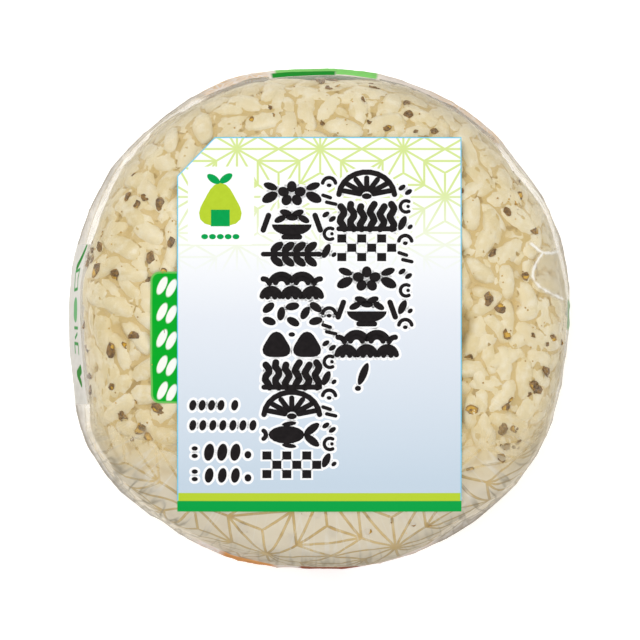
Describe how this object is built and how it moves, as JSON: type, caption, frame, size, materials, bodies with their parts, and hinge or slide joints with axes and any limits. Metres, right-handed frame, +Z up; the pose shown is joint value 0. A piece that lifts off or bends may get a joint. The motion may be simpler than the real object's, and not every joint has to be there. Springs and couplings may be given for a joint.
{
  "type": "wrapped round onigiri rice ball",
  "caption": "Round onigiri of mixed rice sealed in clear pleated film, lying on its folded back, with a flat rectangular paper label on its front.",
  "frame": {"origin": "middle of the underside, on the face that the pack rests on", "axes": "+Z up out of the labelled front, +Y towards the top edge of the label, +X to the right of the label"},
  "size_m": [0.0809, 0.0805, 0.038],
  "materials": {
    "rice": "moist cooked rice, pale warm cream, slightly translucent",
    "seaweed": "thin dark olive-brown flakes of seaweed between the grains",
    "film": "thin clear glossy film with printed white, green and peach areas",
    "label": "coated paper label, satin, printed"
  },
  "bodies": {
    "root": {"wrapped_rice_ball": "rice", "front_label": "label"}
  },
  "joints": []
}
